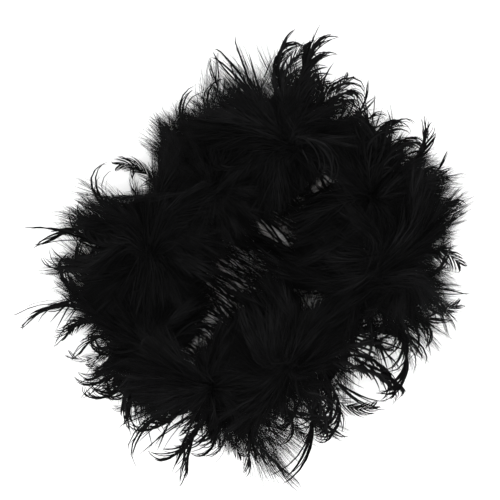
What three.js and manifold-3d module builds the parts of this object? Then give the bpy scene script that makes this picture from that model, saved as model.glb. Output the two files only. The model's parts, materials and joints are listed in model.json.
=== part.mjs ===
// A full-weight black feather boa, coiled in three oval turns and resting on a flat surface.
// Units are millimetres, +Z is up, and the origin is on the surface under the middle of the coil.
//
// A cotton core cord carries everything. At every pitch a bundle of curled feathers is bound to it
// with thread, so each bundle is a soft tuft of its own with a quill binding inside, and the cord
// ends in a thread whipping and a tying loop. The first tail lies on the surface and swings out
// of the coil, and the last tail lies on top and lifts off it.
import * as THREE from "three";
import { ConvexGeometry } from "three/addons/geometries/ConvexGeometry.js";
import { mergeVertices } from "three/addons/utils/BufferGeometryUtils.js";
import Module from "manifold-3d";

// The boa's own sizes.
const CORD_LENGTH = 1830;
const CORD_RADIUS = 2;
const CORD_SIDES = 8;
const TUFT_COUNT = 24;
const TUFT_PITCH = 75;
const BARE_END = (CORD_LENGTH - TUFT_COUNT * TUFT_PITCH) / 2;
const BINDING = { length: 14, inner: 2.8, outer: 3.6, sides: 10 };
const WHIPPING = { length: 9, inner: 2.8, outer: 3.5, sides: 10 };
const LOOP = { ring: 6, cord: 1.4, gap: 0.5 };
const TUFT_BORE = 4.7;

// The fluff's reach from the cord: sideways, upwards, downwards, and along the cord.
const REACH = { side: 70, up: 52, down: 76, along: 118 };
const STEPS_PER_TUFT = 3;

// The space that the coiled boa fills, and the oval that its cord follows in it.
const BUNDLE = { length: 340, width: 288, height: 150 };
const OVAL = { power: 2.6, bottom: [112, 76], top: [105, 68] };
const ROUTE_START = THREE.MathUtils.degToRad(202);
const ROUTE_LEAD = 28;
const ROUTE_STEP = THREE.MathUtils.degToRad(0.25);
const CORD_HEIGHT = { bottom: 30, top: 107, early: 0.3 };

// Three tufts at each end are free tails, each hinged to the next where two tufts meet.
const TAIL_TUFTS = 3;
const TAIL_SWING = 45;
const TAIL_LIFT = 40;
const HINGE_MARGIN = 1.5;
const HINGE_GAP = 2;
const TUFT_GAP = 0.4;
const SPLIT_HEIGHT = 42;

const wasm = await Module();
wasm.setup();

const UP = new THREE.Vector3(0, 0, 1);

// ---- The cord's route ----

// Where the oval lies at an angle, for a share of the climb from the bottom turn to the top one.
function ovalPoint(angle, climb) {
  const a = THREE.MathUtils.lerp(OVAL.bottom[0], OVAL.top[0], climb);
  const b = THREE.MathUtils.lerp(OVAL.bottom[1], OVAL.top[1], climb);
  const across = Math.abs(Math.cos(angle) / a) ** OVAL.power;
  const along = Math.abs(Math.sin(angle) / b) ** OVAL.power;
  const radius = (across + along) ** (-1 / OVAL.power);
  const rise = climb * (1 + CORD_HEIGHT.early * (1 - climb));
  const z = THREE.MathUtils.lerp(CORD_HEIGHT.bottom, CORD_HEIGHT.top, rise);
  return new THREE.Vector3(radius * Math.cos(angle), radius * Math.sin(angle), z);
}

// Winds the cord clockwise, flat along the first tail and climbing from there to the tip.
function windRoute() {
  const tail = BARE_END + TAIL_TUFTS * TUFT_PITCH;
  const stations = [];
  let reached = -ROUTE_LEAD;
  let angle = ROUTE_START;
  while (reached < CORD_LENGTH + ROUTE_LEAD) {
    const climb = THREE.MathUtils.clamp((reached - tail) / (CORD_LENGTH - tail), 0, 1);
    const point = ovalPoint(angle, climb);
    const last = stations.at(-1);
    if (last) reached += point.distanceTo(last.point);
    stations.push({ reached, point });
    angle -= ROUTE_STEP;
  }
  return stations;
}

const ROUTE = windRoute();

function routeAt(length) {
  let k = ROUTE.findIndex((station) => station.reached >= length);
  if (k < 0) k = ROUTE.length - 1;
  k = Math.max(k, 1);
  const [from, to] = [ROUTE[k - 1], ROUTE[k]];
  const share = (length - from.reached) / (to.reached - from.reached);
  return from.point.clone().lerp(to.point, share);
}

function headingAt(length) {
  return routeAt(length + 1).sub(routeAt(length - 1)).normalize();
}

// A stretch of the route through chosen lengths along the cord, so that neighbours share corners.
class RouteStretch extends THREE.Curve {
  constructor(lengths) {
    super();
    this.lengths = lengths;
  }

  lengthAt(t) {
    const place = t * (this.lengths.length - 1);
    const k = Math.min(Math.floor(place), this.lengths.length - 2);
    return THREE.MathUtils.lerp(this.lengths[k], this.lengths[k + 1], place - k);
  }

  getPoint(t) {
    return routeAt(this.lengthAt(t));
  }

  getPointAt(t) {
    return this.getPoint(t);
  }

  getTangentAt(t) {
    return headingAt(this.lengthAt(t));
  }
}

function range(from, to, steps) {
  return Array.from({ length: steps + 1 }, (_, k) => from + ((to - from) * k) / steps);
}

const tuftStart = (k) => BARE_END + k * TUFT_PITCH;

// ---- Solids ----

function roundOutline(radius, sides) {
  const corners = range(0, 2 * Math.PI, sides).slice(0, -1);
  return new THREE.Shape(
    corners.map((a) => new THREE.Vector2(radius * Math.cos(a), radius * Math.sin(a))),
  );
}

function tubeAlong(lengths, radius, sides) {
  return new THREE.ExtrudeGeometry(roundOutline(radius, sides), {
    steps: lengths.length - 1,
    bevelEnabled: false,
    extrudePath: new RouteStretch(lengths),
  });
}

function toSolid(geometry) {
  const bare = geometry.clone();
  bare.deleteAttribute("normal");
  bare.deleteAttribute("uv");
  const merged = mergeVertices(bare, 1e-4);
  return new wasm.Manifold(
    new wasm.Mesh({
      numProp: 3,
      vertProperties: merged.attributes.position.array,
      triVerts: new Uint32Array(merged.index.array),
    }),
  );
}

function toGeometry(solid) {
  const mesh = solid.getMesh();
  const geometry = new THREE.BufferGeometry();
  geometry.setAttribute("position", new THREE.BufferAttribute(mesh.vertProperties, 3));
  geometry.setIndex(new THREE.BufferAttribute(mesh.triVerts, 1));
  geometry.computeVertexNormals();
  return geometry;
}

// A sleeve of thread around the straight piece of cord between two lengths.
function threadSleeve(size, from, to) {
  const [a, b] = [routeAt(from), routeAt(to)];
  const half = size.length / 2;
  const profile = [
    [size.inner, -half],
    [size.outer, -half],
    [size.outer, half],
    [size.inner, half],
    [size.inner, -half],
  ].map(([x, y]) => new THREE.Vector2(x, y));
  const geometry = new THREE.LatheGeometry(profile, size.sides);
  const turn = new THREE.Quaternion().setFromUnitVectors(
    new THREE.Vector3(0, 1, 0),
    b.clone().sub(a).normalize(),
  );
  geometry.applyQuaternion(turn);
  const middle = a.lerp(b, 0.5);
  return geometry.translate(middle.x, middle.y, middle.z);
}

// ---- Where one tuft's fluff stops and its neighbour's starts ----

// A plane that keeps a tuft on one side: points p with normal . p <= limit are kept.
function keepBehind(point, normal, gap) {
  const unit = normal.clone().normalize();
  return { normal: unit, limit: unit.dot(point) - gap };
}

const isFirstTail = (k) => k < TAIL_TUFTS;

// The two end planes of a tuft. At a hinge the side that closes is cut back by half the range.
function endPlanes(k) {
  const planes = [];
  for (const [boundary, side] of [[k, -1], [k + 1, 1]]) {
    const length = tuftStart(boundary);
    const point = routeAt(length);
    const outwards = headingAt(length).multiplyScalar(side);
    planes.push(keepBehind(point, outwards, TUFT_GAP));
    const swings = boundary >= 1 && boundary <= TAIL_TUFTS;
    const lifts = boundary >= TUFT_COUNT - TAIL_TUFTS && boundary < TUFT_COUNT;
    if (!swings && !lifts) continue;
    const reach = swings ? TAIL_SWING : TAIL_LIFT;
    const half = THREE.MathUtils.degToRad(reach / 2 + HINGE_MARGIN);
    const closing = swings ? UP.clone().cross(headingAt(length)) : UP.clone();
    const tilted = outwards.clone().addScaledVector(closing, Math.tan(half));
    planes.push(keepBehind(point, tilted, TUFT_GAP));
  }
  return planes;
}

// The points of cord that a tuft holds, with the tying loop past a tail's tip.
function heldCord(k) {
  const loopReach = 2 * (LOOP.ring + LOOP.cord) + BARE_END;
  const from = tuftStart(k) - (k === 0 ? loopReach : 0);
  const to = tuftStart(k + 1) + (k === TUFT_COUNT - 1 ? loopReach : 0);
  return range(from, to, 12).map(routeAt);
}

const TUFTS = range(0, TUFT_COUNT - 1, TUFT_COUNT - 1);
const HELD = TUFTS.map(heldCord);

// The plane half-way between two tufts' cords, level where the first tail has to slide out.
function planeBetween(own, other) {
  let nearest = { distance: Infinity };
  for (const a of HELD[own])
    for (const b of HELD[other])
      if (a.distanceTo(b) < nearest.distance) nearest = { distance: a.distanceTo(b), a, b };
  const middle = nearest.a.clone().lerp(nearest.b, 0.5);
  const lowest = Math.min(...HELD[isFirstTail(own) ? other : own].map((p) => p.z));
  if (isFirstTail(own) !== isFirstTail(other) && lowest > SPLIT_HEIGHT + CORD_RADIUS) {
    middle.z = SPLIT_HEIGHT;
    const direction = isFirstTail(own) ? UP : UP.clone().negate();
    return keepBehind(middle, direction, TUFT_GAP);
  }
  return keepBehind(middle, nearest.b.clone().sub(nearest.a), TUFT_GAP);
}

function bundlePlanes() {
  const { length, width, height } = BUNDLE;
  const top = new THREE.Vector3(length / 2, width / 2, height);
  const bottom = new THREE.Vector3(-length / 2, -width / 2, 0);
  const axes = [new THREE.Vector3(1, 0, 0), new THREE.Vector3(0, 1, 0), UP];
  return axes.flatMap((axis) => [
    keepBehind(top, axis, 0),
    keepBehind(bottom, axis.clone().negate(), 0),
  ]);
}

// ---- The sub-parts ----

// One tuft of fluff: a rounded cushion round its stretch of cord, pressed flat on its neighbours.
function tuftGeometry(k) {
  const others = TUFTS.filter((n) => Math.abs(n - k) > 1);
  const planes = [
    ...endPlanes(k),
    ...others.map((n) => planeBetween(k, n)),
    ...bundlePlanes(),
  ];
  const middle = tuftStart(k) + TUFT_PITCH / 2;
  const centre = routeAt(middle);
  const heading = headingAt(middle);
  const sideways = UP.clone().cross(heading).normalize();
  const upwards = heading.clone().cross(sideways);
  const ball = mergeVertices(bareBall());
  const points = [];
  for (let v = 0; v < ball.attributes.position.count; v++) {
    const ray = new THREE.Vector3().fromBufferAttribute(ball.attributes.position, v).normalize();
    const vertical = ray.z > 0 ? REACH.up : REACH.down;
    let reach = 1 / Math.hypot(ray.x / REACH.along, ray.y / REACH.side, ray.z / vertical);
    const direction = new THREE.Vector3()
      .addScaledVector(heading, ray.x)
      .addScaledVector(sideways, ray.y)
      .addScaledVector(upwards, ray.z);
    for (const { normal, limit } of planes) {
      const facing = normal.dot(direction);
      if (facing > 1e-9) reach = Math.min(reach, (limit - normal.dot(centre)) / facing);
    }
    points.push(centre.clone().addScaledVector(direction, reach));
  }
  const bore = range(tuftStart(k - 1 / 3), tuftStart(k + 4 / 3), STEPS_PER_TUFT + 2);
  const fluff = toSolid(new ConvexGeometry(points));
  return toGeometry(fluff.subtract(toSolid(tubeAlong(bore, TUFT_BORE, CORD_SIDES))));
}

function bareBall() {
  const ball = new THREE.IcosahedronGeometry(1, 2);
  ball.deleteAttribute("normal");
  ball.deleteAttribute("uv");
  return ball;
}

// The cord between two hinges, with the gap that each hinge needs.
function cordLengths(firstTuft, lastTuft) {
  const steps = (lastTuft - firstTuft) * STEPS_PER_TUFT;
  const lengths = range(tuftStart(firstTuft), tuftStart(lastTuft), steps);
  if (firstTuft === 0) lengths.unshift(0);
  else lengths[0] += HINGE_GAP;
  if (lastTuft === TUFT_COUNT) lengths.push(CORD_LENGTH);
  else lengths[lengths.length - 1] -= HINGE_GAP;
  return lengths;
}

// A tying loop: a ring of cord just past the cord's end, lying level.
function loopGeometry(end, side) {
  const distance = LOOP.ring + LOOP.cord + LOOP.gap;
  const centre = routeAt(end).addScaledVector(headingAt(end), side * distance);
  return new THREE.TorusGeometry(LOOP.ring, LOOP.cord, 8, 16).translate(...centre);
}

// ---- Assembly ----

const finish = (color, roughness) =>
  new THREE.MeshStandardMaterial({ color, roughness, metalness: 0, flatShading: true });
const FLUFF = finish(0x141414, 0.85);
const THREAD = finish(0x1c1c1e, 0.7);
const CORD = finish(0x222224, 0.9);

const boa = new THREE.Group();
boa.name = "feather_boa";

function addPiece(name, geometry, material) {
  const mesh = new THREE.Mesh(geometry, material);
  mesh.name = name;
  boa.add(mesh);
}

for (const k of TUFTS) {
  const number = String(k + 1).padStart(2, "0");
  const third = TUFT_PITCH / STEPS_PER_TUFT;
  const from = tuftStart(k) + third;
  addPiece(`feather_tuft_${number}`, tuftGeometry(k), FLUFF);
  addPiece(`quill_binding_${number}`, threadSleeve(BINDING, from, from + third), THREAD);
}

for (let k = 0; k < TAIL_TUFTS; k++) {
  const fromEnd = TUFT_COUNT - k;
  const first = tubeAlong(cordLengths(k, k + 1), CORD_RADIUS, CORD_SIDES);
  const last = tubeAlong(cordLengths(fromEnd - 1, fromEnd), CORD_RADIUS, CORD_SIDES);
  addPiece(`lower_tail_cord_${TAIL_TUFTS - k}`, first, CORD);
  addPiece(`upper_tail_cord_${TAIL_TUFTS - k}`, last, CORD);
}
const mainCord = cordLengths(TAIL_TUFTS, TUFT_COUNT - TAIL_TUFTS);
addPiece("core_cord", tubeAlong(mainCord, CORD_RADIUS, CORD_SIDES), CORD);

addPiece("lower_end_whipping", threadSleeve(WHIPPING, 0, BARE_END), THREAD);
addPiece("upper_end_whipping", threadSleeve(WHIPPING, CORD_LENGTH - BARE_END, CORD_LENGTH), THREAD);
addPiece("lower_end_loop", loopGeometry(0, -1), CORD);
addPiece("upper_end_loop", loopGeometry(CORD_LENGTH, 1), CORD);

export default boa;
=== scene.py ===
"""A full-weight black feather boa, coiled in three oval turns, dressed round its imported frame.

The frame gives the cord's stretches, the tufts, their bindings and the bodies that they move with.
This script makes what the eye sees: every feather with its shaft and barbs, the twisted cotton
cord, the thread of the bindings and whippings, and the tying loops. Lengths are in millimetres
until a mesh is written, which is in metres.
"""

from __future__ import annotations

import json
import logging
import math
from dataclasses import dataclass, replace
from enum import Enum

import bmesh
import bpy
import numpy as np
from mathutils import Matrix

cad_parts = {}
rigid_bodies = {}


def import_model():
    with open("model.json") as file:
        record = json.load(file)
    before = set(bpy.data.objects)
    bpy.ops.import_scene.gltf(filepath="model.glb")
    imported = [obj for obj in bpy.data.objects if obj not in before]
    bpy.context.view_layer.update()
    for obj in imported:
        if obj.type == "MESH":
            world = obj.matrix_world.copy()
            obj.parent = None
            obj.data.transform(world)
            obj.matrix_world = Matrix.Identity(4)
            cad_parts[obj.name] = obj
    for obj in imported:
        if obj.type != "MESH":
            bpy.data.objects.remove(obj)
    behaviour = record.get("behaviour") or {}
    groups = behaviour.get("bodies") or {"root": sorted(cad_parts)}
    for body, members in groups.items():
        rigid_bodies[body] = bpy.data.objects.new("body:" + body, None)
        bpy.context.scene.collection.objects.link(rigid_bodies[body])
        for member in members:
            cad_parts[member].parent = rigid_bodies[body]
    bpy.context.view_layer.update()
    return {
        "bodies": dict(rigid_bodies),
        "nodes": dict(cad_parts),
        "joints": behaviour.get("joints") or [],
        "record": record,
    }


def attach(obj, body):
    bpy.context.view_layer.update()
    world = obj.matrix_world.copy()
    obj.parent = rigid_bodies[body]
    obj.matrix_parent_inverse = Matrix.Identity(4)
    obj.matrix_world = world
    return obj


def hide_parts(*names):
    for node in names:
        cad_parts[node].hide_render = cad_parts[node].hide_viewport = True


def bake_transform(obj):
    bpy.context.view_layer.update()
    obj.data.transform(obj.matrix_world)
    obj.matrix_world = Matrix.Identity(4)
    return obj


LOG = logging.getLogger("feather_boa")
MM = 0.001
UP = np.array([0.0, 0.0, 1.0])

Array, Random = np.ndarray, np.random.Generator
Mesh, Material, Object = bpy.types.Mesh, bpy.types.Material, bpy.types.Object
Node, NodeTree = bpy.types.Node, bpy.types.NodeTree


# ---- Small helpers ----


def linear(hex_colour: str) -> tuple[float, float, float, float]:
    """Turns an sRGB hex value into the linear colour that a shader reads.

    Args:
        hex_colour: Six hex digits, such as "1a1a1c".

    Returns:
        Linear red, green, blue and an alpha of one.
    """
    channels = []
    for start in (0, 2, 4):
        value = int(hex_colour[start : start + 2], 16) / 255
        channels.append(value / 12.92 if value <= 0.04045 else ((value + 0.055) / 1.055) ** 2.4)
    return channels[0], channels[1], channels[2], 1.0


def unit(vectors: Array) -> Array:
    """Scales vectors to length one along their last axis."""
    size = np.linalg.norm(vectors, axis=-1, keepdims=True)
    return vectors / np.maximum(size, 1e-9)


def add_node(tree: NodeTree, kind: str, settings: dict, links: dict) -> Node:
    """Adds one node to a tree with its settings and links.

    Args:
        tree: The node tree.
        kind: The node's type, such as "ShaderNodeTexNoise".
        settings: Properties by name, or inputs by name or number, and their values.
        links: Inputs by name or number, each with the output socket that feeds it.

    Returns:
        The new node.
    """
    node = tree.nodes.new(kind)
    for name, value in settings.items():
        if isinstance(name, int) or name in node.inputs:
            node.inputs[name].default_value = value
        else:
            setattr(node, name, value)
    for name, socket in links.items():
        tree.links.new(socket, node.inputs[name])
    return node


def set_inputs(node: Node, values: dict[str, object]) -> None:
    """Sets a node's inputs by name."""
    for name, value in values.items():
        node.inputs[name].default_value = value


def new_material(name: str) -> tuple[Material, NodeTree, Node]:
    """Makes a material, and gives it with its node tree and its shader."""
    material = bpy.data.materials.new(name)
    material.use_nodes = True
    return material, material.node_tree, material.node_tree.nodes["Principled BSDF"]


def mesh_from(name: str, shape: bmesh.types.BMesh) -> Mesh:
    """Writes a bmesh to a new mesh and frees it."""
    mesh = bpy.data.meshes.new(name)
    shape.to_mesh(mesh)
    shape.free()
    return mesh


def rod_of(sides: int, cuts: int) -> bmesh.types.BMesh:
    """Makes a closed rod up from the origin, one long and one in radius, cut into rings."""
    rod = bmesh.new()
    bmesh.ops.create_cone(rod, cap_ends=True, segments=sides, radius1=1, radius2=1, depth=1)
    long_edges = [e for e in rod.edges if abs(e.verts[0].co.z - e.verts[1].co.z) > 0.5]
    bmesh.ops.subdivide_edges(rod, edges=long_edges, cuts=cuts)
    bmesh.ops.translate(rod, verts=rod.verts, vec=(0, 0, 0.5))
    return rod


def copies_of(name: str, parts: list[Mesh]) -> Mesh:
    """Joins one copy of each part, in order, into a new mesh.

    Args:
        name: The new mesh's name.
        parts: The meshes to copy, repeats allowed.

    Returns:
        A mesh whose vertices are the parts' vertices, one part after the other.
    """
    joined = bmesh.new()
    for part in parts:
        joined.from_mesh(part)
    return mesh_from(name, joined)


def places_of(mesh: Mesh) -> Array:
    """Reads a mesh's vertices as an array of points."""
    flat = np.empty(len(mesh.vertices) * 3)
    mesh.vertices.foreach_get("co", flat)
    return flat.reshape(-1, 3)


def set_places(mesh: Mesh, points: Array) -> None:
    """Writes an array of points to a mesh's vertices."""
    mesh.vertices.foreach_set("co", np.ascontiguousarray(points, dtype=np.float64).ravel())
    mesh.update()


def to_metres(mesh: Mesh) -> Mesh:
    """Scales a finished mesh from millimetres to metres."""
    set_places(mesh, places_of(mesh) * MM)
    return mesh


def set_fibre(mesh: Mesh, values: Array) -> None:
    """Stores each vertex's place along shaft and barb, and its share of painted sheen."""
    layer = mesh.attributes.new("fibre", "FLOAT_VECTOR", "POINT")
    layer.data.foreach_set("vector", np.ascontiguousarray(values, dtype=np.float32).ravel())


def piece_from(name: str, mesh: Mesh, *finishes: Material) -> Object:
    """Links a mesh to the scene as a named object at the origin, with its finishes in order."""
    for finish in finishes:
        mesh.materials.append(finish)
    piece = bpy.data.objects.new(name, mesh)
    bpy.context.scene.collection.objects.link(piece)
    return piece


# ---- Finishes ----


@dataclass(frozen=True)
class DyedFibre:
    """Feather down or quill dyed black: keratin, matt, its own gloss lost in the dye.

    Strong dye leaves almost no body colour. The soft grey streaks that light makes where barbs
    lie side by side are painted into the colour: a painted sheen that changes from barb to barb
    and from lock to lock. The colour also pales towards tips.
    """

    name: str
    root: str
    tip: str
    # Painted sheen: the pale grey that stands in for light on the locks.
    painted_sheen: str
    roughness: float
    specular: float
    lock_mm: float

    ROUGHNESS_RANGE = (-0.1, 0.14)

    def make(self) -> Material:
        """Builds the material."""
        material, tree, shader = new_material(self.name)
        fibre = add_node(tree, "ShaderNodeAttribute", {"attribute_name": "fibre"}, {})
        parts = add_node(tree, "ShaderNodeSeparateXYZ", {}, {0: fibre.outputs["Vector"]})
        place = add_node(tree, "ShaderNodeTexCoord", {}, {})
        locks = add_node(
            tree,
            "ShaderNodeTexNoise",
            {"Scale": 1 / (self.lock_mm * MM), "Detail": 2.0, "Roughness": 0.6},
            {"Vector": place.outputs["Object"]},
        )
        along = add_node(
            tree,
            "ShaderNodeMix",
            {"data_type": "RGBA", 6: linear(self.root), 7: linear(self.tip)},
            {0: parts.outputs["Y"]},
        )
        # Painted sheen: each barb's and feather's share, broken into locks, mixes in the pale
        # colour as a painted highlight.
        painted_sheen_share = add_node(
            tree,
            "ShaderNodeMath",
            {"operation": "MULTIPLY"},
            {0: parts.outputs["Z"], 1: locks.outputs["Fac"]},
        )
        painted_sheen_mix = add_node(
            tree,
            "ShaderNodeMix",
            {"data_type": "RGBA", 7: linear(self.painted_sheen)},
            {0: painted_sheen_share.outputs["Value"], 6: along.outputs[2]},
        )
        least, most = self.ROUGHNESS_RANGE
        rough = add_node(
            tree,
            "ShaderNodeMapRange",
            {"To Min": self.roughness + least, "To Max": self.roughness + most},
            {"Value": locks.outputs["Fac"]},
        )
        tree.links.new(painted_sheen_mix.outputs[2], shader.inputs["Base Color"])
        tree.links.new(rough.outputs["Result"], shader.inputs["Roughness"])
        set_inputs(shader, {"Specular IOR Level": self.specular})
        return material


@dataclass(frozen=True)
class SpunYarn:
    """Twisted cotton or spun polyester thread: fine fibres laid at a slant round each yarn.

    Cotton is matt and slightly fuzzy, polyester a little glossier. The slanted fibres give a fine
    regular streak, drawn from a wave across the piece, and lint gives small pale specks. Single
    fibres are too fine to show, so both are drawn as coarse as a bundle of them.
    """

    name: str
    dark: str
    light: str
    roughness: float
    sheen: float
    fibre_mm: float
    bump: float

    SPECULAR = 0.12
    RELIEF = 0.1

    def make(self) -> Material:
        """Builds the material."""
        material, tree, shader = new_material(self.name)
        place = add_node(tree, "ShaderNodeTexCoord", {}, {})
        wave = add_node(
            tree,
            "ShaderNodeTexWave",
            {
                "Scale": 1 / (self.fibre_mm * MM * 2 * math.pi),
                "Distortion": 3.0,
                "Detail": 2.0,
                "bands_direction": "DIAGONAL",
            },
            {"Vector": place.outputs["Object"]},
        )
        lint = add_node(
            tree,
            "ShaderNodeTexNoise",
            {"Scale": 1 / (self.fibre_mm * MM), "Detail": 3.0},
            {"Vector": place.outputs["Object"]},
        )
        both = add_node(
            tree,
            "ShaderNodeMath",
            {"operation": "MULTIPLY"},
            {0: wave.outputs["Fac"], 1: lint.outputs["Fac"]},
        )
        colour = add_node(
            tree,
            "ShaderNodeMix",
            {"data_type": "RGBA", 6: linear(self.dark), 7: linear(self.light)},
            {0: both.outputs["Value"]},
        )
        bump = add_node(
            tree,
            "ShaderNodeBump",
            {"Strength": self.bump, "Distance": self.RELIEF * MM},
            {"Height": wave.outputs["Fac"]},
        )
        tree.links.new(colour.outputs[2], shader.inputs["Base Color"])
        tree.links.new(bump.outputs["Normal"], shader.inputs["Normal"])
        set_inputs(
            shader,
            {
                "Roughness": self.roughness,
                "Specular IOR Level": self.SPECULAR,
                "Sheen Weight": self.sheen,
            },
        )
        return material


# The third colour of each is painted sheen, a pale grey that stands in for light on the locks.
DYED_DOWN = DyedFibre("dyed_turkey_down", "020202", "070707", "262627", 0.62, 0.02, 11.0)
DYED_QUILL = DyedFibre("dyed_quill_keratin", "060606", "040404", "0d0d0d", 0.42, 0.05, 5.0)
COTTON_CORD = SpunYarn("twisted_cotton_cord", "040404", "0e0e0f", 0.88, 0.03, 0.5, 0.6)
POLYESTER_THREAD = SpunYarn("spun_polyester_thread", "050506", "101012", 0.5, 0.0, 0.3, 0.4)


# ---- The cord's route ----


class CoilRoute:
    """The cord's line: three turns of an oval, wound clockwise and climbing past the first tail."""

    LENGTH = 1830.0
    TUFTS = 24
    TURN_TUFTS = 8
    PITCH = 75.0
    BARE_END = (LENGTH - TUFTS * PITCH) / 2
    TAIL_TUFTS = 3
    POWER = 2.6
    BOTTOM = (112.0, 76.0)
    TOP = (105.0, 68.0)
    HEIGHTS = (30.0, 107.0)
    EARLY = 0.3
    START = math.radians(202)
    STEP = math.radians(0.25)
    LEAD = 28.0

    def __init__(self) -> None:
        """Winds the route and keeps the length reached at each point."""
        tail = self.BARE_END + self.TAIL_TUFTS * self.PITCH
        reached, angle = -self.LEAD, self.START
        lengths: list[float] = []
        points: list[tuple[float, float, float]] = []
        while reached < self.LENGTH + self.LEAD:
            climb = min(max((reached - tail) / (self.LENGTH - tail), 0.0), 1.0)
            point = self.oval_point(angle, climb)
            if points:
                reached += math.dist(point, points[-1])
            lengths.append(reached)
            points.append(point)
            angle -= self.STEP
        self.lengths = np.array(lengths)
        self.points = np.array(points)

    def oval_point(self, angle: float, climb: float) -> tuple[float, float, float]:
        """Gives a point of the oval for an angle and a share of the climb to the top turn."""
        a = self.BOTTOM[0] + (self.TOP[0] - self.BOTTOM[0]) * climb
        b = self.BOTTOM[1] + (self.TOP[1] - self.BOTTOM[1]) * climb
        cosine, sine = math.cos(angle), math.sin(angle)
        radius = (abs(cosine / a) ** self.POWER + abs(sine / b) ** self.POWER) ** (-1 / self.POWER)
        rise = climb * (1 + self.EARLY * (1 - climb))
        z = self.HEIGHTS[0] + (self.HEIGHTS[1] - self.HEIGHTS[0]) * rise
        return radius * cosine, radius * sine, z

    def at(self, length: float | Array) -> Array:
        """Gives the point, or points, at a length along the cord."""
        columns = [np.interp(length, self.lengths, self.points[:, k]) for k in range(3)]
        return np.stack(columns, axis=-1)

    def heading(self, length: float | Array) -> Array:
        """Gives the cord's unit direction at a length."""
        return unit(self.at(np.asarray(length) + 1.0) - self.at(np.asarray(length) - 1.0))

    def tuft_start(self, index: int) -> float:
        """Gives the length along the cord where a tuft starts, the first tuft being 0."""
        return self.BARE_END + index * self.PITCH


class Outline:
    """How far the feather tips reach in plan, where the two runs meet, and where tips are curly.

    TIPS and FRINGE weren't chosen by hand: a separate program fitted them, one value for every ten
    degrees of plan. The curly shares and the seam are given one by one.
    """

    STEP = 10
    TIPS = (
        *(164, 177, 138, 185, 140, 159, 157, 151, 162, 137, 102, 131),
        *(179, 166, 188, 160, 142, 173, 175, 159, 124, 145, 164, 128),
        *(88, 101, 115, 109, 100, 88, 169, 168, 137, 171, 186, 187),
    )
    FRINGE = (
        *(168, 181, 152, 210, 210, 202, 200, 168, 174, 141, 106, 177),
        *(196, 170, 210, 164, 146, 179, 187, 169, 128, 149, 168, 175),
        *(198, 155, 185, 113, 171, 178, 182, 178, 163, 175, 203, 191),
    )
    CURLY = (
        *(0.5, 0.8, 0.6, 0.5, 0.3, 0.1, 0.0, 0.0, 0.0, 0.0, 0.0, 0.0),
        *(0.1, 0.3, 0.3, 0.5, 0.7, 0.9, 1.0, 0.9, 0.8, 0.7, 0.4, 0.1),
        *(0.1, 0.4, 0.5, 0.6, 0.5, 0.3, 0.1, 0.0, 0.0, 0.0, 0.1, 0.2),
    )
    SEAM_GAP = 5.0
    SEAM_X = (-134.0, -100.0, -65.0, -31.0, 1.0, 42.0, 104.0, 140.0)
    SEAM_Y = (-40.0, -27.0, -6.0, 6.0, 11.0, 8.0, 22.0, 43.0)

    def around(self, table: tuple[float, ...], point: Array) -> Array:
        """Reads a table that goes round the coil, at the plan angle of each point."""
        angle = np.degrees(np.arctan2(point[..., 1], point[..., 0])) % 360
        return np.interp(angle, np.arange(len(table) + 1) * self.STEP, (*table, table[0]))

    def room_outside(self, root: Array, level: Array, table: tuple[float, ...]) -> float:
        """Gives the distance from a root, along a level direction, to a table's outline."""
        reach = np.arange(20.0, 130.0, 1.0)
        places = root[None, :2] + reach[:, None] * level[None, :2]
        outside = np.linalg.norm(places, axis=1) > self.around(table, places)
        return float(reach[outside].min(initial=130.0))

    def room_inside(self, root: Array, level: Array) -> float:
        """Gives the distance from a root, along a level direction, to the seam of the two runs."""
        reach = np.arange(20.0, 130.0, 1.0)
        places = root[None, :2] + reach[:, None] * level[None, :2]
        seam = np.interp(places[:, 0], self.SEAM_X, self.SEAM_Y)
        side = np.sign(root[1] - np.interp(root[0], self.SEAM_X, self.SEAM_Y))
        past = (places[:, 1] - seam) * side <= 0
        return float(reach[past].min(initial=130.0)) - self.SEAM_GAP


# ---- Feathers ----


class FeatherKind(Enum):
    """The kinds of feather that the boa is made of."""

    PLUME = "soft plume with a brush of long loose barbs"
    LOCK = "plume whose barbs cling together in pointed locks"
    CLAW = "stiff hooked shaft whose barbs cling in pointed blades"
    BLADE = "flat webbed tip"
    STRAND = "long bare strands that curve side by side"


PLUME, LOCK, CLAW, BLADE, STRAND = FeatherKind


@dataclass(frozen=True)
class FeatherPattern:
    """The sizes of one kind of feather, lying along +Y with its face to +Z.

    Angles are in degrees from the shaft, at the lowest barb and at the highest.
    """

    shaft: float
    shaft_width: float
    barbs: int
    first_barb: float
    barb_lengths: tuple[float, float]
    barb_width: float
    leave_angles: tuple[float, float]
    tip_angles: tuple[float, float]
    sweep: float
    roundness: float
    lock_size: int
    cling: float
    wave: float
    steps: int = 3
    tip_width: float = 0.25
    blunt: bool = False


PATTERNS = {
    PLUME: FeatherPattern(
        46, 0.8, 112, 0.08, (23, 31), 0.36, (52, 20), (16, 9), 8, 1.0, 6, 0.35, 1.2
    ),
    LOCK: FeatherPattern(
        50, 0.8, 104, 0.08, (22, 24), 0.42, (38, 16), (5, 2), 10, 0.8, 18, 0.75, 0.6
    ),
    CLAW: FeatherPattern(
        66, 2.3, 30, 0.2, (15, 21), 1.7, (27, 9), (9, 0), 56, 0.3, 4, 0.95, 0.3, 5
    ),
    BLADE: FeatherPattern(
        58, 0.9, 84, 0.14, (15, 9), 0.6, (42, 26), (24, 14), 6, 0.12, 12, 0.12, 0.3, 3, 0.6, True
    ),
    STRAND: FeatherPattern(
        46, 1.7, 9, 0.2, (34, 42), 2.1, (28, 10), (10, 0), 44, 0.4, 1, 0.0, 0.7, 6
    ),
}


@dataclass(frozen=True)
class Feather:
    """One ready feather: its mesh, the places of its vertices in millimetres, and their fibres."""

    mesh: Mesh
    shape: Array
    fibre: Array
    reach: float


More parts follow.
